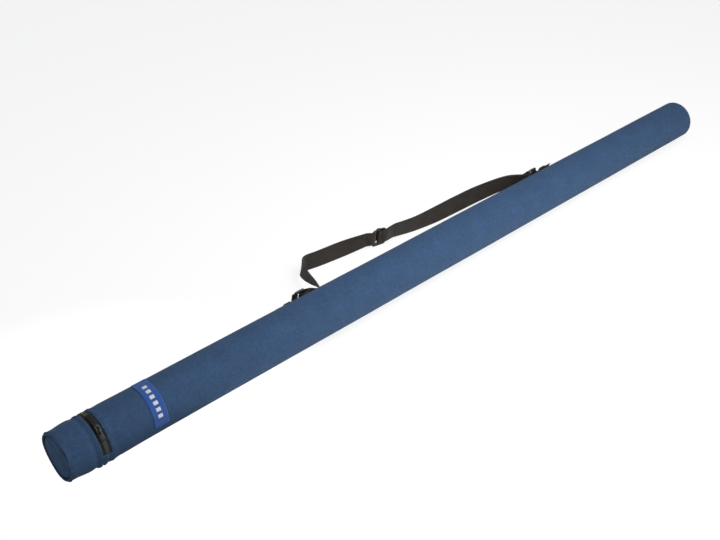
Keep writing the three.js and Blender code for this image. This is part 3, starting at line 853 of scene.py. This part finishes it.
def pull_tab():
    skin = Skin()
    bar = []
    for x in spaced(-3.4 * MM, 3.4 * MM, 0.85 * MM):
        section = []
        for k in range(10):
            a = pi * k / 5
            middle = on_tube(ZIP_X + x, PIVOT_ANGLE, PIVOT_R - 0.05 * MM + 0.7 * MM * sin(a))
            section.append(middle + round_way(PIVOT_ANGLE) * (0.75 * MM * cos(a)))
        bar.append(section)
    skin.loft(bar)
    arm = rounded_box(1.7 * MM, TAB_T, 0.5 * MM)
    angles = spaced(PIVOT_ANGLE, 61.5, 1.2)
    for side in (-1, 1):
        swept_round(skin, angles, [tab_height(a) for a in angles], lambda t: arm, side * 2.65 * MM)
    angles = spaced(59.8, TAB_END, 1.1)
    swept_round(skin, angles, [tab_height(a) for a in angles], plate_outline)
    skin.piece("zip_pull_tab", "metal", TAB, ["pull_tab"])


# ---- fabric hinge


def hinge_panel():
    """The cover runs unbroken from body to lid here, and folds along the zip line."""
    start, end = LID_HEM - 1.5 * MM, BODY_HEM + 1.5 * MM
    xs = spaced(start, end, 0.55 * MM)
    outer = COVER_R + 0.25 * MM
    profile = [(x, outer) for x in xs] + [(x, outer - 0.9 * MM) for x in reversed(xs)]
    span = (HINGE_SPAN[0] - 3, HINGE_SPAN[1] + 1)

    def shape(x, angle, radius):
        d = x - ZIP_X
        side = smooth(span[0], span[0] + 9, angle) * (1 - smooth(span[1] - 7, span[1], angle))
        fold = 1.25 * MM * bell(d, -1.4 * MM, 2.0 * MM) * side
        valley = -0.7 * MM * bell(d, 2.6 * MM, 1.5 * MM)
        pleat = 0.35 * MM * sin(radians(angle) * 17 + 1.6 * d / MM)
        dr = fold + valley + pleat * bell(d, 0, 5 * MM) + ripple(x, angle) + slack(x, angle)
        return 0, dr + lift_off_floor(angle, radius + dr)

    hinge = turned(profile, 90, shape, span).piece("fabric_hinge", "fabric")
    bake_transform(hinge)
    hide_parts("hinge_panel_body", "hinge_panel_lid")


# ---- label


LABEL_SPAN = (-8.0, 115.0)


def label_height(x, angle):
    lift = 1.7 * MM * smooth(LABEL_SPAN[1] - 14, LABEL_SPAN[1], angle) ** 2
    lift += 0.35 * MM * bell(angle, LABEL_SPAN[0], 4)
    base = COVER_R + body_surface(x, angle, COVER_R)[1]
    return base + 0.35 * MM + lift + 0.12 * MM * noise.noise(Vector((x * 150, angle / 14, 3.0)))


def label_skew(angle):
    return 1.1 * MM * (angle - 50) / 60


def label_strip(skin, x0, x1, span, thickness, raise_by, steps=120):
    xs = spaced(x0, x1, 1.5 * MM)
    edge = [(x, thickness) for x in xs] + [(x, 0.0) for x in reversed(xs)]
    sections = []
    for i in range(steps + 1):
        angle = span[0] + (span[1] - span[0]) * i / steps
        section = []
        for x, up in edge:
            px = x + label_skew(angle)
            section.append(on_tube(px, angle, label_height(px, angle) + up + raise_by - 0.2 * MM))
        sections.append(section)
    skin.loft(sections)


def woven_label():
    x0, x1 = ends("woven_label")
    skin = Skin()
    label_strip(skin, x0, x1, LABEL_SPAN, 0.5 * MM, 0)
    skin.piece("brandless_label", "label", BODY, ["woven_label"])
    marks = Skin()
    left, right = (x0 + x1) / 2 - 3.6 * MM, (x0 + x1) / 2 + 3.6 * MM
    for i in range(6):
        start = 13 + i * 14.5
        label_strip(marks, left, right, (start, start + 8), 0.12 * MM, 0.48 * MM, steps=8)
    marks.piece("label_dashes", "label_mark", BODY)
    threads = Skin()
    for end in (LABEL_SPAN[0] + 3.2, LABEL_SPAN[1] - 19):
        spots = []
        for x in spaced(x0 + 2 * MM, x1 - 2 * MM, 2.4 * MM):
            px = x + label_skew(end)
            point = on_tube(px, end, label_height(px, end) + 0.36 * MM)
            spots.append((point, TUBE_WAY, outward(end)))
        stitches(threads, spots, length=1.9 * MM)
    threads.piece("label_stitching", "label_thread", BODY)


# ---- strap


STRAP_W = 30 * MM
STRAP_T = 1.4 * MM
LAYER = 0.95 * MM
LOOP_R = 3.7 * MM
ANCHOR_R = 42.7 * MM
RING_PITCH = 18 * MM
ANCHORS = {
    "near": {"angle": 168, "x": 462, "toward": -1, "strip": 44, "side_bar": 6, "curl": 0, "reach": 1.5},
    "far": {"angle": 162, "x": 1021, "toward": 1, "strip": 42, "side_bar": 4.5, "curl": 3, "reach": 1},
}
ADJUSTER_AT = 708
PINCH = 3.6 * MM


def ring_point(name):
    anchor = ANCHORS[name]
    way = outward(anchor["angle"]) * (ANCHOR_R / MM)
    return (anchor["x"], way.y, way.z, 180 - anchor["angle"])


# From the lid's end, from the tube's axis in y and z, in mm, the lean in degrees, and where
# the webbing twists, the lean's turn towards the closed end.
STRAP_ROUTE = [
    ring_point("near"),
    (474, 42, 8.6, 12),
    (492, 46.5, 3.5, 36, 20),
    (511, 56, -3, 54, 38),
    (520.5, 82, -10.5, 47, 17),
    (529, 111, -15.8, 34, 5),
    (541, 137.5, -19.8, 16, 2),
    (557, 148, -22.4, -6),
    (585, 144.5, -22.6, -12),
    (640, 137, -21.9, -12),
    (682, 124.6, -17.4, 4),
    (708, 119.2, -15.4, 6),
    (734, 114.6, -16.4, 8),
    (790, 110, -22, 0),
    (840, 104.5, -20.4, -16),
    (890, 98, -15.2, -24),
    (940, 85, -5.5, -18),
    (984, 58, 11, 3),
    (1009, 41.5, 13.4, 18),
    ring_point("far"),
]


def catmull_rom(points, steps):
    """Centripetal curve through the points, the same number of steps in each span."""
    padded = [points[0] * 2 - points[1], *points, points[-1] * 2 - points[-2]]
    out = []
    for i in range(len(points) - 1):
        p0, p1, p2, p3 = padded[i : i + 4]
        d0, d1, d2 = ((b - a).length ** 0.5 for a, b in ((p0, p1), (p1, p2), (p2, p3)))
        m1 = ((p1 - p0) / d0 - (p2 - p0) / (d0 + d1) + (p2 - p1) / d1) * d1
        m2 = ((p2 - p1) / d1 - (p3 - p1) / (d1 + d2) + (p3 - p2) / d2) * d1
        for k in range(steps):
            t = k / steps
            c2 = p1 * -3 + p2 * 3 - m1 * 2 - m2
            c3 = p1 * 2 - p2 * 2 + m1 + m2
            out.append(p1 + m1 * t + c2 * t**2 + c3 * t**3)
    out.append(points[-1])
    return out


class Route:
    """The strap's centre surface, measured along it from the near ring's bar."""

    def __init__(self, points):
        edges = []
        for side in (-1, 1):
            edge = []
            for x, y, z, lean, *turn in points:
                across = Vector((0, 0, -1))
                across.rotate(Matrix.Rotation(radians(lean), 3, "X"))
                across.rotate(Matrix.Rotation(radians(-sum(turn)), 3, "Z"))
                middle = Vector((LID_END + x * MM, y * MM, AXIS_Z + z * MM))
                edge.append(middle + across * (side * STRAP_W / 2))
            edges.append(catmull_rom(edge, 40))
        self.middles = [(a + b) / 2 for a, b in zip(*edges)]
        self.across = [(b - a) / STRAP_W for a, b in zip(*edges)]
        self.lengths = [0.0]
        for a, b in zip(self.middles, self.middles[1:]):
            self.lengths.append(self.lengths[-1] + (b - a).length)
        self.length = self.lengths[-1]

    def at(self, s):
        inside = min(max(s, 0.0), self.length)
        i = min(max(bisect.bisect_left(self.lengths, inside), 1), len(self.lengths) - 1)
        span = self.lengths[i] - self.lengths[i - 1]
        t = (inside - self.lengths[i - 1]) / span
        a, b = self.middles[i - 1], self.middles[i]
        along = (b - a).normalized()
        across = self.across[i - 1].lerp(self.across[i], t)
        middle = a.lerp(b, t) + along * (s - inside)
        return middle, along, across, along.cross(across).normalized()

    def length_at_x(self, x):
        return max(s for s, middle in zip(self.lengths, self.middles) if middle.x <= x)


def webbing_outline():
    """Cross-section of the webbing: a flat band with full, rounded selvedges."""
    half_w, half_t = STRAP_W / 2, STRAP_T / 2
    flat = [(half_w * k, half_t) for k in (-0.88, -0.6, -0.3, 0, 0.3, 0.6, 0.88)]
    top = [(-0.94 * half_w, 1.12 * half_t), *flat, (0.94 * half_w, 1.12 * half_t)]
    end = [(half_w * 0.985, half_t * 0.8), (half_w, 0.0), (half_w * 0.985, -half_t * 0.8)]
    return top + end + [(-x, -y) for x, y in top + end]


def ribbon(skin, route, steps, pinched_at):
    """Webbing along (length, height) steps, its upper edge drawn in at the adjuster."""
    points = []
    for s, off in steps:
        middle, along, across, out = route.at(s)
        points.append((middle + out * off, across, bell(s, pinched_at, 19 * MM)))
    outline = webbing_outline()
    sections = []
    for i, (point, across, pinch) in enumerate(points):
        along = points[min(i + 1, len(points) - 1)][0] - points[max(i - 1, 0)][0]
        out = along.cross(across).normalized()
        section = []
        for w, t in outline:
            drawn_in = PINCH * pinch * (0.5 - w / STRAP_W)
            section.append(point + across * (w + drawn_in) + out * t)
        sections.append(section)
    skin.loft(sections)


def level(start, end, off):
    return [(s, off) for s in spaced(start, end, 3 * MM)]


def turn_round(s, radius, start, end, reach=1.0):
    """Steps round a bar at s; the far side of the turn hangs reach times further out."""
    beyond = cos(radians((start + end) / 2))
    steps = []
    for i in range(17):
        a = radians(start + (end - start) * i / 16)
        stretch = reach if cos(a) * beyond > 0 else 1.0
        steps.append((s + radius * stretch * cos(a), radius * sin(a)))
    return steps


# (length, height) steps in mm from the adjuster's middle bar: the strap's way through it, and
# the way in of the end that is doubled back to the bar.
WEAVE = [(-20, -1.4), (-14.5, -3), (-11, -3), (-9.4, -2.2), (-5.4, 3), (-2.8, 4.6), (0, 5.1)]
WEAVE += [(-s, off) for s, off in reversed(WEAVE[:-1])]
RETURN = [(22, -3.1), (14.5, -4.9), (11, -4.9), (6, -4.2), (3, -3.2)]


def softened(points, rounds):
    """Rounds the corners of a list of (length, height) steps."""
    for _ in range(rounds):
        out = [points[0]]
        for (a, b), (c, d) in zip(points, points[1:]):
            out += [(a + (c - a) * t, b + (d - b) * t) for t in (0.25, 0.75)]
        points = [*out, points[-1]]
    return points


def strap():
    route = Route(STRAP_ROUTE)
    adjuster = route.length_at_x(LID_END + ADJUSTER_AT * MM)
    end = route.length

    def through_adjuster(steps, rounds):
        return softened([(adjuster + s * MM, off * MM) for s, off in steps], rounds)

    steps = level(42 * MM, 14 * MM, -LAYER)
    steps += turn_round(0, LOOP_R, 300, 60, reach=2.1)
    steps += level(14 * MM, adjuster - 26 * MM, LAYER)
    steps += through_adjuster(WEAVE, 2)
    steps += level(adjuster + 34 * MM, end - 14 * MM, LAYER)
    steps += turn_round(end, LOOP_R, 120, -120)
    steps += level(end - 14 * MM, adjuster + 30 * MM, -LAYER)
    steps += through_adjuster(RETURN, 1)
    steps += turn_round(adjuster, 3 * MM, -60, -300)
    skin = Skin()
    ribbon(skin, route, steps, adjuster)
    skin.piece("strap_band", "webbing", BODY, ["strap_webbing"])
    strap_stitching(route)
    adjuster_frame(route, adjuster)


def strap_stitching(route):
    """The box of stitches that closes the strap's loop round the near ring's bar."""
    surface = LAYER + STRAP_T / 2 + 0.02 * MM
    spots = []

    def sew(s, w, runs_across):
        middle, along, across, out = route.at(s)
        for up in (out, -out):
            spots.append((middle + across * w + up * surface, across if runs_across else along, up))

    for s in (17 * MM, 21 * MM, 36 * MM, 39.5 * MM):
        for w in spaced(-11 * MM, 11 * MM, 2.6 * MM):
            sew(s, w, True)
    for w in (-12 * MM, 12 * MM):
        for s in spaced(18 * MM, 38 * MM, 2.6 * MM):
            sew(s, w, False)
    sewn(spots, "strap_stitching")


def sewn(spots, name):
    threads = Skin()
    stitches(threads, spots, length=2.1 * MM, width=0.5 * MM)
    threads.piece(name, "black_thread", BODY)


def frame_loop(skin, place, length, width, bar, side_bars, thickness, corner):
    """A flat plastic loop: a rounded bar swept round a rounded rectangle."""
    outer = rounded_box(length, width, corner, 6)
    upper, lower = side_bars
    clear = rounded_box(length - 2 * bar, width - upper - lower, max(0.8 * MM, corner - bar), 6)
    inner = [(x, y + (upper - lower) / 2) for x, y in clear]
    sections = []
    for (ox, oy), (ix, iy) in zip(outer, inner):
        section = []
        for k in range(12):
            a = 2 * pi * k / 12
            c, s = cos(a), sin(a)
            u = 0.5 + 0.5 * copysign(abs(c) ** 0.6, c)
            up = 0.5 * thickness * copysign(abs(s) ** 0.6, s)
            section.append(place @ Vector((ix + (ox - ix) * u, iy + (oy - iy) * u, up)))
        sections.append(section)
    skin.loft(sections, ring=True)


def place_at(origin, along, out):
    place = Matrix((along, out.cross(along), out)).transposed().to_4x4()
    place.translation = origin
    return place


def adjuster_frame(route, s):
    """A slide with a thin upper edge, a deep lower edge and a middle bar."""
    middle, along, across, out = route.at(s)
    place = place_at(middle, along, out)
    skin = Skin()
    frame_loop(
        skin, place @ Matrix.Translation((0, 5 * MM, 0)), length=30 * MM, width=36.5 * MM,
        bar=4 * MM, side_bars=(1.6 * MM, 8.2 * MM), thickness=2.6 * MM, corner=7 * MM,
    )
    bar = []
    for y in spaced(-12.6 * MM, 18 * MM, 2 * MM):
        bar.append([place @ Vector((x, y, z)) for x, z in rounded_box(3 * MM, 2.4 * MM, 0.9 * MM)])
    skin.loft(bar)
    skin.piece("adjuster_slide", "plastic", BODY, ["strap_adjuster"])


def anchor(name):
    """A ring, and the webbing tab folded through it and sewn down along the tube."""
    spec = ANCHORS[name]
    origin = Vector((LID_END + spec["x"] * MM, 0, AXIS_Z))
    place = place_at(origin, TUBE_WAY, outward(spec["angle"]))
    loop_ring(name, spec, place)
    sewn_tab(name, spec, place)


def loop_ring(name, spec, place):
    side_bar = spec["side_bar"] * MM
    skin = Skin()
    frame_loop(
        skin, place @ Matrix.Translation((spec["toward"] * RING_PITCH / 2, 0, ANCHOR_R)),
        length=22 * MM, width=32 * MM + 2 * side_bar, bar=4 * MM, side_bars=(side_bar, side_bar),
        thickness=3.5 * MM, corner=5.5 * MM,
    )
    skin.piece(f"{name}_loop_ring", "plastic", BODY, [f"{name}_ring"])


def sewn_tab(name, spec, place):
    toward = spec["toward"]
    lower_r = COVER_R + 0.75 * MM
    upper_lift = 1.5
    outline = webbing_outline()

    def along(d):
        """How far along the tube a point d mm past the ring's bar is from the strap's bar."""
        return toward * (RING_PITCH + d * MM)

    def curl(d, w):
        """The tab's upper edge stands off the cover."""
        return spec["curl"] * MM * smooth(5, 14, d) * smooth(0, 15 * MM, w)

    def hug(d, w, height, drape):
        """Across the tube the band bends to it as drape goes from 0, flat, to 1."""
        angle = spec["angle"] - degrees(w / COVER_R) * 0.98
        radius = lower_r + height + curl(d, w)
        curved = on_tube(LID_END + spec["x"] * MM + along(d), angle, radius)
        return (place @ Vector((along(d), w, radius))).lerp(curved, drape)

    strip = spec["strip"]
    lower = [(strip, 1), *((d, 1) for d in spaced(strip - 2, 14, 3))]
    lower += [(11, 0.8), (8, 0.45), (5.5, 0.2), (3.5, 0.05)]
    band = [[hug(d, w, t, drape) for w, t in outline] for d, drape in lower]
    for i in range(1, 17):
        a = radians(i * 15)
        reach = spec["reach"] if sin(a) > 0 else 1.0
        section = []
        for w, t in outline:
            x = along(0) - toward * (reach * LOOP_R - t) * sin(a)
            section.append(place @ Vector((x, w, ANCHOR_R - (LOOP_R - t) * cos(a))))
        band.append(section)
    upper = [(4.2, 3.0, 0.1), (6.5, 2.1, 0.3), (9, 1.6, 0.6), (12, upper_lift, 0.9)]
    upper += [(d, upper_lift, 1) for d in (15, 22, 26)]
    for d, lift, drape in upper:
        band.append([hug(d, w, lift * MM - t, drape) for w, t in outline])
    Skin().loft(band).piece(f"{name}_sewn_tab", "webbing", BODY, [f"{name}_anchor_tab"])

    spots = []

    def sew(d, w, lift, runs_along=False):
        angle = spec["angle"] - degrees(w / COVER_R)
        radius = lower_r + lift * MM + STRAP_T / 2 + 0.05 * MM + curl(d, w)
        point = on_tube(LID_END + spec["x"] * MM + along(d), angle, radius)
        spots.append((point, TUBE_WAY if runs_along else round_way(angle), outward(angle)))

    for w in spaced(-12 * MM, 12 * MM, 2.7 * MM):
        sew(12, w, upper_lift)
        sew(24, w, upper_lift)
        sew(strip - 3, w, 0)
    for d in spaced(12, 24, 2.7):
        sew(d, -12.5 * MM, upper_lift, True)
        sew(d, 12.5 * MM, upper_lift, True)
    sewn(spots, f"{name}_tab_stitching")


# ---- stage


def build_case():
    body_sleeve()
    lid_sleeve()
    end_piece("lid_end", LID_END, 1, LID, lid_surface, 2.0)
    end_piece("closed_end", CLOSED_END, -1, BODY, body_surface, 9.0)
    inside_pieces()
    zip_half("body", 1, BODY)
    zip_half("lid", -1, LID)
    zip_slider()
    pull_tab()
    hinge_panel()
    woven_label()
    strap()
    for name in ANCHORS:
        anchor(name)


CAMERA_AT = Vector((-1.0893, -0.9647, 0.9919))
CAMERA_AZIMUTH, CAMERA_ELEVATION = 43.04, 34.62
AMBIENT = 0.22
WHITE_GLOW = 1.05
LIGHTS = {
    "key": ((0.08, -0.45, 1.0), (0.08, 0, 0), (0.9, 0.8), 13),
    "side": ((0.08, -1.3, 0.55), (0.08, 0, 0), (1.0, 0.7), 5.2),
    "end": ((-2.2, -0.1, 0.3), (-0.7, 0, 0.04), (0.6, 0.5), 3.6),
}


def placed(name, data, location, rotation):
    obj = bpy.data.objects.new(name, data)
    obj.location = location
    obj.rotation_euler = rotation
    bpy.context.scene.collection.objects.link(obj)
    return obj


def camera():
    data = bpy.data.cameras.new("camera")
    data.lens = 50
    data.sensor_width = 36
    data.clip_end = 50
    turn = (radians(90 - CAMERA_ELEVATION), 0, radians(-CAMERA_AZIMUTH))
    bpy.context.scene.camera = placed("camera", data, CAMERA_AT, turn)


def area_light(name, location, target, size, power):
    data = bpy.data.lights.new(name, "AREA")
    data.shape = "RECTANGLE"
    data.size, data.size_y = size
    data.energy = power
    direction = Vector(target) - Vector(location)
    placed(name, data, location, direction.to_track_quat("-Z", "Y").to_euler())


def pale_floor():
    """White to the camera with a faint contact shadow, and open below the lid's swing."""
    n = Nodes("pale_floor")
    n.finish((0.93, 0.93, 0.93, 1), 0.9, Specular_IOR_Level=0.1)
    to_camera = n.add("LightPath").outputs["Is Camera Ray"]
    glow = n.add("Emission", Strength=WHITE_GLOW).outputs[0]
    lit = n.add("MixShader", n.math("MULTIPLY", to_camera, 0.8), n.shader.outputs[0], glow)
    away = n.add("VectorMath", n.place, Vector((ZIP_X, -30 * MM, 0)))
    away.operation = "DISTANCE"

    def beyond(start, end):
        fade = n.add("MapRange", Value=away.outputs["Value"], From_Min=start, From_Max=end)
        fade.interpolation_type = "SMOOTHSTEP"
        return fade.outputs["Result"]

    # light passes through a small opening, and the camera sees through a wider one
    seen_through = n.math("MULTIPLY", n.math("SUBTRACT", 1.0, beyond(0.30, 0.42)), to_camera)
    solid = n.math("MULTIPLY", beyond(0.13, 0.19), n.math("SUBTRACT", 1.0, seen_through))
    gap = n.add("BsdfTransparent").outputs[0]
    whole = n.add("MixShader", solid, gap, lit.outputs[0])
    n.link(whole.outputs[0], n.tree.nodes["Material Output"].inputs["Surface"])
    return n.material


def studio():
    bpy.ops.mesh.primitive_plane_add(size=24, location=(0, 0, -0.2 * MM))
    floor = bpy.context.object
    floor.name = "floor"
    floor.data.materials.append(pale_floor())
    world = bpy.data.worlds.new("studio")
    world.use_nodes = True
    tree = world.node_tree
    soft = tree.nodes["Background"]
    white = tree.nodes.new("ShaderNodeBackground")
    for light, colour, strength in ((soft, (0.92, 0.96, 1, 1), AMBIENT), (white, (1, 1, 1, 1), WHITE_GLOW)):
        light.inputs["Color"].default_value = colour
        light.inputs["Strength"].default_value = strength
    rays = tree.nodes.new("ShaderNodeLightPath")
    pick = tree.nodes.new("ShaderNodeMixShader")
    tree.links.new(rays.outputs["Is Camera Ray"], pick.inputs[0])
    tree.links.new(soft.outputs[0], pick.inputs[1])
    tree.links.new(white.outputs[0], pick.inputs[2])
    tree.links.new(pick.outputs[0], tree.nodes["World Output"].inputs["Surface"])
    bpy.context.scene.world = world
    for name, light in LIGHTS.items():
        area_light(name, *light)
    bpy.context.scene.view_settings.view_transform = "Standard"


camera()
build_case()
studio()
